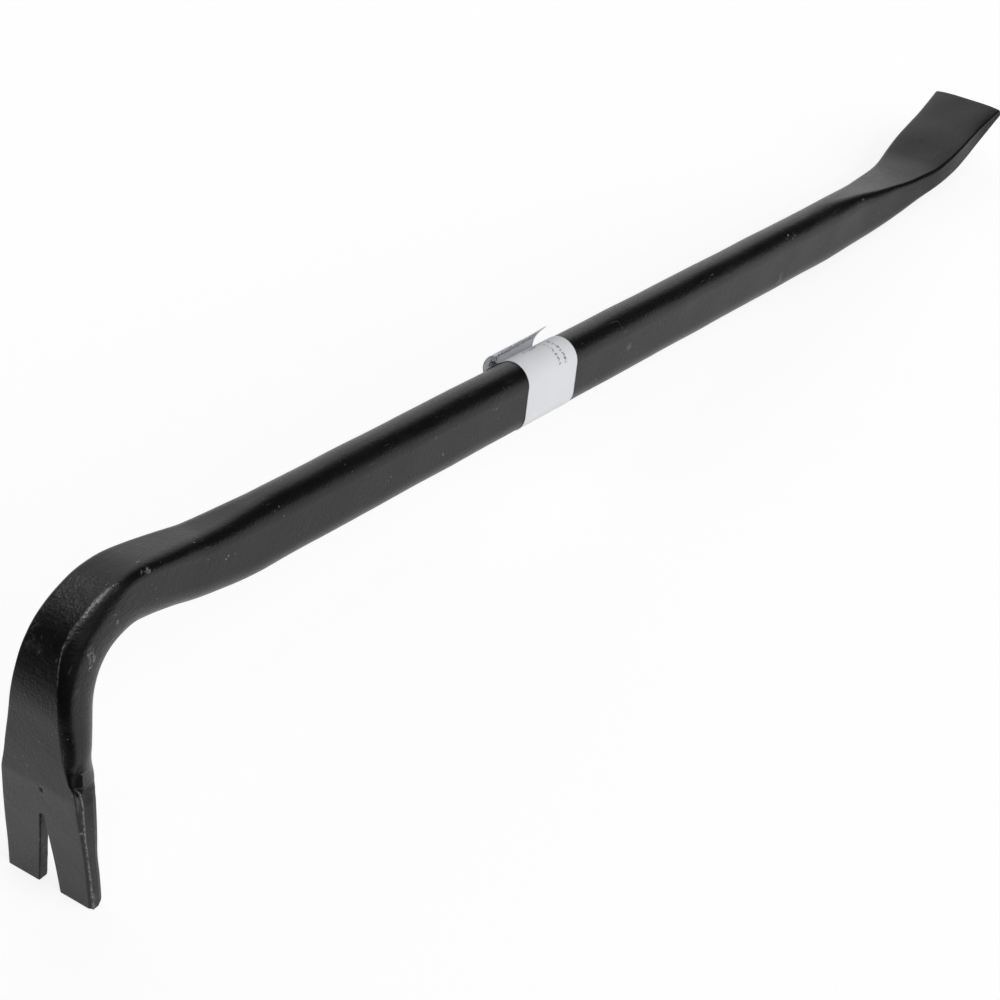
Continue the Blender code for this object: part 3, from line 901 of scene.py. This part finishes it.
def on_points(tree, name):
    """A value that is kept on the mesh's points."""
    return add(tree, "ShaderNodeAttribute", {"attribute_name": name}).outputs["Fac"]


def blend(tree, share, *colours):
    """From the first of two colours to the second by this share. A colour is a hex value or an output."""
    first, second = [linear(colour) if isinstance(colour, str) else colour for colour in colours]
    return add(tree, "ShaderNodeMix", {"data_type": "RGBA"}, Factor=share, i6=first, i7=second).outputs[2]


def coat(tree, **inputs):
    """A Principled surface on the material's output."""
    skin = add(tree, "ShaderNodeBsdfPrincipled", **inputs)
    add(tree, "ShaderNodeOutputMaterial", Surface=skin.outputs["BSDF"])


def new_material(name):
    """An empty node material and its tree."""
    material = bpy.data.materials.new(name)
    material.use_nodes = True
    material.node_tree.nodes.clear()
    return material, material.node_tree


print("mid grey", [round(v, 4) for v in linear("#808080")])

# %% [markdown]
# ## Black paint on forged steel
#
# The bar is dipped or sprayed with a black alkyd paint straight over the scale of the forging. It dries to a
# half gloss with a faint orange-peel, is rougher on the hook, and shows small pale chips, scratches and
# scuffs. A pale band round the near corner of the hook's bend is a painted highlight, and the shine drops in
# the recess, under the crease and on the notch's walls as painted shade. Reflections do most of the work, so
# the colour stays very dark. Each scuff is a centre in the frame, a radius in metres and how strong it is.

# %% Paint material
SCUFFS = (
    ((-0.3193, -0.0116, 0.0975), 0.0021, 1.0),
    ((-0.3191, -0.0117, 0.0942), 0.0022, 1.0),
    ((-0.3203, -0.0119, 0.0918), 0.0015, 1.0),
    ((-0.3054, -0.0109, 0.1008), 0.0011, 1.0),
    ((-0.3060, -0.0109, 0.1041), 0.0008, 1.0),
    ((-0.3285, -0.0050, 0.0969), 0.0008, 1.0),
    ((-0.2876, -0.0092, 0.1108), 0.0016, 1.0),
    ((-0.2902, -0.0094, 0.1115), 0.0013, 0.8),
    ((-0.3382, -0.0160, 0.0506), 0.0007, 1.0),
    ((-0.3379, -0.0180, 0.0343), 0.0009, 1.0),
    ((-0.3187, 0.0097, 0.1063), 0.0036, 0.2),
    ((-0.3237, 0.0099, 0.1027), 0.0042, 0.25),
    ((-0.3276, 0.0084, 0.0983), 0.0044, 0.25),
    ((-0.3281, 0.0036, 0.0976), 0.0026, 0.2),
    ((-0.3146, -0.0019, 0.1088), 0.0030, 0.15),
)
PAINT_COLOURS = ("#0b0b0c", "#101011")
# The bare steel colour also paints the highlight round the hook's bend.
BARE_STEEL_AND_HIGHLIGHT_COLOUR = "#858584"
ACROSS = (0.12, 0.12, 1.0)
LENGTHWISE = (0.05, 1.0, 0.05)
CHIP_SPECKS = (0.7, 0.76)
CHIP_PATCHES = (0.58, 0.66)
SCUFF_GRAIN = (0.45, 0.6)
SCUFF_CORE = 0.4
SCRATCH_LINES = (0.68, 0.74)
SCRATCH_PATCHES = (0.4, 0.55)
SCRATCH_SHARE = 0.25
WORN_AND_HIGHLIGHT_GRAIN = (0.36, 0.6)
CLOUD_RANGE = (0.3, 0.7)
ROUGHNESS = (0.22, 0.3)
COARSE_ROUGHNESS = 0.08
COARSE_SMUDGE_HEIGHT = 2.0
SHADE_SMUDGE = (0.35, 0.6, 1.2, 0.5)
SHINE = (0.5, 0.05)


def bare_steel_and_highlight(tree, place, grain):
    """Where the paint is off, and a painted highlight: chips in patches, the scuffs, thin scratches along the
    bar, worn edges, and the pale band painted round the hook's bend.
    """
    speck = noise(tree, place, size=1.1, detail=1.0)
    patch = noise(tree, place, size=13, detail=2.0)
    scratch = noise(tree, stretched(tree, place, LENGTHWISE), size=0.7, detail=2.0)
    chips = product(tree, between(tree, speck, *CHIP_SPECKS), between(tree, patch, *CHIP_PATCHES))
    ragged = between(tree, grain, *SCUFF_GRAIN)
    for centre, radius, strength in SCUFFS:
        scuff = between(tree, far_from(tree, place, centre), SCUFF_CORE * radius, radius, strength, 0.0)
        chips = maths(tree, "MAXIMUM", chips, product(tree, scuff, ragged))
    line = product(tree, between(tree, scratch, *SCRATCH_LINES), between(tree, patch, *SCRATCH_PATCHES))
    chips = maths(tree, "MAXIMUM", chips, product(tree, line, SCRATCH_SHARE))
    # The worn points also hold the painted highlight round the hook's bend.
    rubbed_and_highlight = product(tree, on_points(tree, "worn_and_highlight"), between(tree, grain, *WORN_AND_HIGHLIGHT_GRAIN))
    return maths(tree, "MAXIMUM", chips, rubbed_and_highlight)


def black_alkyd_paint():
    """Near black with bare steel and a painted highlight showing through, a half gloss that the painted shade
    takes away, and an orange-peel.
    """
    material, tree = new_material("black_alkyd_paint_on_forged_steel")
    place = add(tree, "ShaderNodeTexCoord").outputs["Object"]
    cloud = noise(tree, place, size=22, detail=4.0, roughness=0.6)
    grain = noise(tree, place, size=1.1, detail=4.0, roughness=0.65)
    smudge = noise(tree, place, size=3.2, detail=5.0, roughness=0.7)
    hatch = noise(tree, stretched(tree, place, ACROSS), size=0.9, detail=3.0)
    coarse = on_points(tree, "coarse")
    bare_and_highlight = bare_steel_and_highlight(tree, place, grain)
    coarse_smudge = product(tree, smudge, coarse)
    rough = between(tree, cloud, *CLOUD_RANGE, *ROUGHNESS)
    rough = maths(tree, "MULTIPLY_ADD", coarse_smudge, COARSE_ROUGHNESS, rough)
    height = maths(tree, "MULTIPLY_ADD", coarse_smudge, COARSE_SMUDGE_HEIGHT, grain)
    height = maths(tree, "ADD", height, product(tree, hatch, coarse))
    # Painted shade: the shine drops where the points hold it.
    painted_shade = product(tree, on_points(tree, "painted_shade"), between(tree, smudge, *SHADE_SMUDGE))
    peel = add(tree, "ShaderNodeBump", Strength=0.8, Distance=0.00018, Height=height).outputs["Normal"]
    coat(
        tree,
        i0=blend(tree, bare_and_highlight, blend(tree, cloud, *PAINT_COLOURS), BARE_STEEL_AND_HIGHLIGHT_COLOUR),
        Roughness=rough,
        IOR=1.46,
        Specular_IOR_Level=between(tree, painted_shade, 0.0, 1.0, *SHINE),
        Normal=peel,
    )
    return material


forging.data.materials.append(black_alkyd_paint())
print("paint on", forging.name, "with", len(SCUFFS), "scuffs")

# %% [markdown]
# ## The paper label
#
# A strip of white paper goes once round the shaft. Its two ends are stuck face to face behind the crest and
# stand up as a small flag, with an open fold under them. The strip is one open path across the shaft, from
# one free end round the bar to the other, carried along x. Each point of the two free paths has its across
# and up position at the strip's claw side and at its blade side.

# %% Label surface
LABEL_START = 209.5
LABEL_WIDTH = 34.7
PAPER_CLEAR = 0.18
PAPER_THICKNESS = 0.12
LABEL_STATIONS = 60
CREST_STEPS = 30
BELLY_STEPS = 26
FLAT_STEPS = 8
FLAG_STEPS = 6
HALF_DEPTH = 15.0
HALF_WIDTH = 8.5
LEAVE_CREST = (30.0, 50.0)
MAP_UNIT = 100.0
NEAR_PATH = (
    ((9.3, 14.4), (8.2, 17.2)),
    ((12.0, 12.9), (11.2, 13.7)),
    ((13.7, 10.0), (13.1, 10.3)),
    ((14.0, 7.4), (13.7, 7.4)),
    ((13.6, 5.6), (13.6, 5.2)),
    ((12.3, 7.4), (12.4, 6.2)),
    ((9.2, 10.7), (10.0, 8.7)),
)
FAR_PATH = (
    ((8.8, -4.0), (8.8, -5.0)),
    ((10.2, 0.5), (10.4, 0.0)),
    ((13.0, 4.2), (13.2, 3.8)),
    ((14.2, 7.2), (13.9, 7.3)),
    ((13.9, 10.1), (13.3, 10.4)),
    ((12.1, 13.1), (11.35, 13.85)),
    ((9.38, 14.55), (8.3, 17.33)),
)


def through(points, steps):
    """Smooth curve through points: each span is a Catmull-Rom cubic of its four neighbours."""
    ends = np.concatenate([2 * points[:1] - points[1:2], points, 2 * points[-1:] - points[-2:-1]])
    t = np.linspace(0, 1, steps + 1)[:-1, None]
    spans = []
    for a, b, c, d in zip(ends[:-3], ends[1:-2], ends[2:-1], ends[3:]):
        square = (2 * a - 5 * b + 4 * c - d) * t**2
        cube = (3 * b - a - 3 * c + d) * t**3
        spans.append(0.5 * (2 * b + (c - a) * t + square + cube))
    return np.concatenate(spans + [points[-1:]])


def between_sides(path, share):
    """A path at one share of the strip's width, on straight lines from its claw side to its blade side."""
    path = np.array(path)
    return path[:, 0] * (1 - share) + path[:, 1] * share


def label_path(share):
    """Across and up positions of the strip at one share of its width, from free end to free end."""
    radius = HALF_WIDTH + PAPER_CLEAR
    straight = HALF_DEPTH - HALF_WIDTH
    leave = math.radians(LEAVE_CREST[0] * (1 - share) + LEAVE_CREST[1] * share)
    crest = np.linspace(leave, -math.pi / 2, CREST_STEPS)
    belly = np.linspace(-math.pi / 2, -3 * math.pi / 2, BELLY_STEPS)
    over = np.stack([radius * np.sin(crest), straight + radius * np.cos(crest)], 1)
    under = np.stack([radius * np.sin(belly), -straight + radius * np.cos(belly)], 1)
    out = through(np.concatenate([between_sides(NEAR_PATH, share), over[:1]]), FLAG_STEPS)[:-1]
    side = np.linspace(over[-1], under[0], FLAT_STEPS)[1:-1]
    back = through(np.concatenate([under[-1:], between_sides(FAR_PATH, share)]), FLAG_STEPS)[1:]
    return np.concatenate([out, over, side, under, back])


shares = np.linspace(0, 1, LABEL_STATIONS)
paths = np.array([label_path(share) for share in shares])
label_x = np.broadcast_to((LABEL_START + LABEL_WIDTH * shares)[:, None, None], paths.shape[:2] + (1,))
label_points = standing(np.concatenate([label_x, paths], axis=2)).reshape(-1, 3)
label_faces = grid_faces(*paths.shape[:2], 0).tolist()
label = new_piece("paper_label", label_points, label_faces, "root", "wrap_label")
steps_along = np.linalg.norm(np.diff(paths, axis=1), axis=2)
arc = np.concatenate([np.zeros((LABEL_STATIONS, 1)), np.cumsum(steps_along, axis=1)], axis=1)
flat_strip = np.stack([label_x[..., 0].ravel() - LABEL_START, arc.ravel()], 1) / MAP_UNIT
corner = np.zeros(len(label.data.loops), np.int32)
label.data.loops.foreach_get("vertex_index", corner)
label.data.uv_layers.new(name="strip").data.foreach_set("uv", flat_strip[corner].astype(np.float32).ravel())
wall_of_paper = label.modifiers.new("paper_thickness", "SOLIDIFY")
wall_of_paper.thickness = PAPER_THICKNESS * MILLIMETRE
wall_of_paper.offset = 0.0
label.data.shade_smooth()
print("label strip", round(float(arc[0, -1]), 1), "mm long")

# %% [markdown]
# ## Paper
#
# Smooth coated label paper is a cool white with almost no gloss, and a faint fibre keeps it from looking like
# plastic. The print is short rows of grey dashes. A dark patch at the open fold under the flag is painted
# shade. Each row is its middle and half its size across the strip, the same round the bar, its colour, ink
# for the print and dark grey for the painted shade, and the level that noise must pass to take that colour.

# %% Paper material
PRINT_SIZE = 1.1
STRIP_LENGTH = float(arc[:, -1].mean())
PRINT_AND_SHADE_ROWS = (
    ((26.7, 0.8), (34.5, 7.0), "#8d8e94", 0.52),
    ((22.7, 0.7), (34.0, 6.5), "#8d8e94", 0.53),
    ((16.0, 6.0), (26.6, 0.7), "#8d8e94", 0.52),
    ((19.0, 15.5), (4.0, 4.0), "#96979c", 0.50),
    ((19.0, 15.5), (STRIP_LENGTH - 5.0, 5.0), "#96979c", 0.50),
    # Painted shade: the dark opening of the fold under the flag.
    ((6.4, 2.7), (11.5, 3.4), "#37343a", 0.45),
)
PAPER_COLOURS = ("#e6e8ec", "#eeeff2")


def printed_and_shaded(tree, paper):
    """The paper's colour with the ink and the painted shade on it: noise above a gate, inside each row's
    rectangle.
    """
    strip = add(tree, "ShaderNodeUVMap", {"uv_map": "strip"}).outputs["UV"]
    parts = add(tree, "ShaderNodeSeparateXYZ", Vector=strip).outputs
    flat = {"noise_dimensions": "2D"}
    letters = add(tree, "ShaderNodeTexNoise", flat, Vector=strip, Scale=MAP_UNIT / PRINT_SIZE, Detail=1.0)
    for (across, half_across), (around, half_around), ink_and_shade, gate in PRINT_AND_SHADE_ROWS:
        inside = product(
            tree,
            maths(tree, "COMPARE", parts["X"], across / MAP_UNIT, half_across / MAP_UNIT),
            maths(tree, "COMPARE", parts["Y"], around / MAP_UNIT, half_around / MAP_UNIT),
            maths(tree, "GREATER_THAN", letters.outputs["Fac"], gate),
        )
        paper = blend(tree, inside, paper, ink_and_shade)
    return paper


def coated_label_paper():
    """Cool white with a slow mottle and a fine fibre bump, and the print and a patch of painted shade on top.
    """
    material, tree = new_material("coated_label_paper")
    place = add(tree, "ShaderNodeTexCoord").outputs["Object"]
    paper = blend(tree, noise(tree, place, size=9, detail=2.0), *PAPER_COLOURS)
    fibre = noise(tree, place, size=0.8, detail=4.0)
    texture = add(tree, "ShaderNodeBump", Strength=0.2, Distance=0.00003, Height=fibre).outputs["Normal"]
    coat(tree, i0=printed_and_shaded(tree, paper), Roughness=0.6, IOR=1.45, Normal=texture)
    return material


label.data.materials.append(coated_label_paper())
print("paper on", label.name)

# %% [markdown]
# ## Floor
#
# The camera sees the floor as an even white that only the bar's shadow darkens. Half gloss paint is mostly a
# mirror, and it sees a pale table that ends before the camera, with a soft pool of light by the claw.

# %% Floor
FLOOR_REACH = 12.0
CAMERA_SIDE = (0.816, 0.578, 0.0)
TABLE_EDGE = -0.38
TABLE_EDGE_BLUR = 0.06
TABLE_COLOURS = ("#505050", "#ececec")
POOL_PLACE = (-0.40, 0.04, 0.0)
POOL_EDGE = (0.06, 0.2)
POOL_LEVEL = 0.18
TABLE_GLOW = 0.25
FLOOR_SHADOW = 0.3
FLOOR_LIT = 0.59
WHITE = (1, 1, 1, 1)


def pale_floor():
    """Even white with a soft shadow for the camera, and a pale table with a pool of light for the rest."""
    material, tree = new_material("pale_floor")
    place = add(tree, "ShaderNodeTexCoord").outputs["Object"]
    back = add(tree, "ShaderNodeVectorMath", {"operation": "DOT_PRODUCT"}, i0=place, i1=CAMERA_SIDE)
    edge_low = TABLE_EDGE - TABLE_EDGE_BLUR
    edge_high = TABLE_EDGE + TABLE_EDGE_BLUR
    table = between(tree, back.outputs["Value"], edge_low, edge_high, way="SMOOTHSTEP")
    pool = between(tree, far_from(tree, place, POOL_PLACE), *POOL_EDGE, POOL_LEVEL, 0.0)
    table_top = add(tree, "ShaderNodeBsdfDiffuse", Color=blend(tree, table, *TABLE_COLOURS))
    level = maths(tree, "MULTIPLY_ADD", table, TABLE_GLOW, pool)
    bright = add(tree, "ShaderNodeEmission", Color=WHITE, Strength=level)
    lit = add(tree, "ShaderNodeAddShader", i0=table_top.outputs["BSDF"], i1=bright.outputs["Emission"])
    shade = add(tree, "ShaderNodeBsdfDiffuse", Color=(FLOOR_SHADOW, FLOOR_SHADOW, FLOOR_SHADOW, 1.0))
    glow = add(tree, "ShaderNodeEmission", Color=WHITE, Strength=1.0 - FLOOR_SHADOW * FLOOR_LIT)
    seen = add(tree, "ShaderNodeAddShader", i0=shade.outputs["BSDF"], i1=glow.outputs["Emission"])
    to_camera = add(tree, "ShaderNodeLightPath").outputs["Is Camera Ray"]
    both = add(tree, "ShaderNodeMixShader", Fac=to_camera, i1=lit.outputs[0], i2=seen.outputs[0])
    add(tree, "ShaderNodeOutputMaterial", Surface=both.outputs["Shader"])
    return material


corners = FLOOR_REACH * np.array([[-1, -1, 0], [1, -1, 0], [1, 1, 0], [-1, 1, 0]])
floor_mesh = bpy.data.meshes.new("floor")
floor_mesh.from_pydata(corners.tolist(), [], [(0, 1, 2, 3)])
floor = bpy.data.objects.new("floor", floor_mesh)
bpy.context.scene.collection.objects.link(floor)
floor.data.materials.append(pale_floor())
print("floor", 2 * FLOOR_REACH, "m wide")

# %% [markdown]
# ## Surroundings
#
# The low background behind the bar is bright and the room in front is dark, which gives black paint its long
# bright and dark bands. A grey card stands on the camera's side, for the claw plate to mirror. Directions are
# given by azimuth in degrees, and by height as the z of a direction one long.

# %% Surroundings
BACKDROP_RIGHT = (-5.0, 22.0)
BACKDROP_LEFT = (62.0, 120.0)
BACKDROP_TOP = (0.72, 0.95)
BACKDROP_ABOVE = 0.25
BACKDROP_LEVEL = 0.82
ROOM_LEVEL = 0.03
CARD_RIGHT = (-72.0, -45.0)
CARD_LEFT = (-150.0, -110.0)
CARD_LOW = (0.12, 0.35)
CARD_HIGH = (0.75, 0.9)
CARD_LEVEL = 0.28


def soft_edge(tree, value, edge, before, after):
    """A smooth step from the level before an edge to the level after it."""
    return between(tree, value, *edge, before, after, way="SMOOTHSTEP")


def studio_world():
    """Light by direction: a white backdrop, a grey card and a dark room, and plain white for the camera.

    Backdrop and card are products of soft edges. Azimuth is atan2(y, x) of the direction.
    """
    world = bpy.data.worlds.new("studio")
    bpy.context.scene.world = world
    world.use_nodes = True
    tree = world.node_tree
    tree.nodes.clear()
    look = add(tree, "ShaderNodeTexCoord").outputs["Generated"]
    parts = add(tree, "ShaderNodeSeparateXYZ", Vector=look).outputs
    height = parts["Z"]
    azimuth = maths(tree, "ARCTAN2", parts["Y"], parts["X"])
    backdrop = product(
        tree,
        soft_edge(tree, azimuth, np.radians(BACKDROP_RIGHT), 0.0, 1.0),
        soft_edge(tree, azimuth, np.radians(BACKDROP_LEFT), 1.0, 0.0),
        soft_edge(tree, height, BACKDROP_TOP, 1.0, BACKDROP_ABOVE),
    )
    card = product(
        tree,
        soft_edge(tree, azimuth, np.radians(CARD_RIGHT), 1.0, 0.0),
        soft_edge(tree, azimuth, np.radians(CARD_LEFT), 0.0, 1.0),
        soft_edge(tree, height, CARD_LOW, 0.0, 1.0),
        soft_edge(tree, height, CARD_HIGH, 1.0, 0.0),
    )
    level = maths(tree, "MULTIPLY_ADD", backdrop, BACKDROP_LEVEL, ROOM_LEVEL)
    level = maths(tree, "MULTIPLY_ADD", card, CARD_LEVEL, level)
    to_camera = add(tree, "ShaderNodeLightPath").outputs["Is Camera Ray"]
    seen = add(tree, "ShaderNodeMix", {"data_type": "FLOAT"}, Factor=to_camera, i2=level, i3=1.0)
    glow = add(tree, "ShaderNodeBackground", Color=WHITE, Strength=seen.outputs[0])
    add(tree, "ShaderNodeOutputWorld", Surface=glow.outputs["Background"])


studio_world()
print("backdrop from", BACKDROP_RIGHT[0], "to", BACKDROP_LEFT[1], "degrees")

# %% [markdown]
# ## Lamps
#
# A lamp high behind the bar draws the bright line along its top and casts no light on dull surfaces. A wide
# soft one above the camera gives the shadow, and a low one in front lights all but the reflections.

# %% Lamps
def far_lamp(name, azimuth, elevation, spread, strength):
    """A far round soft light, as a Sun lamp: its -z axis points down from that azimuth and elevation."""
    lamp = bpy.data.lights.new(name, "SUN")
    lamp.angle = math.radians(spread)
    lamp.energy = strength
    item = bpy.data.objects.new(name, lamp)
    item.rotation_euler = (0.0, math.radians(90 - elevation), math.radians(azimuth))
    bpy.context.scene.collection.objects.link(item)
    return item


overhead_lamp = far_lamp("overhead_lamp", azimuth=104.0, elevation=83.0, spread=13.0, strength=1.65)
overhead_lamp.visible_diffuse = False
far_lamp("overhead_softbox", azimuth=-110.0, elevation=75.0, spread=40.0, strength=0.35)
low_fill = far_lamp("low_front_fill", azimuth=-90.0, elevation=28.0, spread=60.0, strength=1.66)
low_fill.visible_glossy = False
print("three lamps")

# %% [markdown]
# ## Camera
#
# The camera stands in front of the claw, to its left and above it, and looks along the bar. Its place and
# turn were found by matching the straight shaft's edges and the claw's symmetry in the photograph.

# %% Camera
CAMERA_PLACE = (-0.77021, -0.49399, 0.63120)
CAMERA_RIGHT = (0.58584, -0.81033, 0.01288)
CAMERA_DOWN = (-0.47007, -0.35271, -0.80909)
CAMERA_FORWARD = (0.66017, 0.46794, -0.58754)
camera_data = bpy.data.cameras.new("photo_camera")
camera_data.lens = 92.317
camera_data.sensor_width = 36.0
camera = bpy.data.objects.new("photo_camera", camera_data)
axes = np.stack([CAMERA_RIGHT, -np.array(CAMERA_DOWN), -np.array(CAMERA_FORWARD)], 1)
camera.matrix_world = Matrix.Translation(CAMERA_PLACE) @ Matrix(axes.tolist()).to_4x4()
bpy.context.scene.collection.objects.link(camera)
bpy.context.scene.camera = camera
bpy.context.scene.view_settings.view_transform = "Standard"
print("camera", camera_data.lens, "mm")
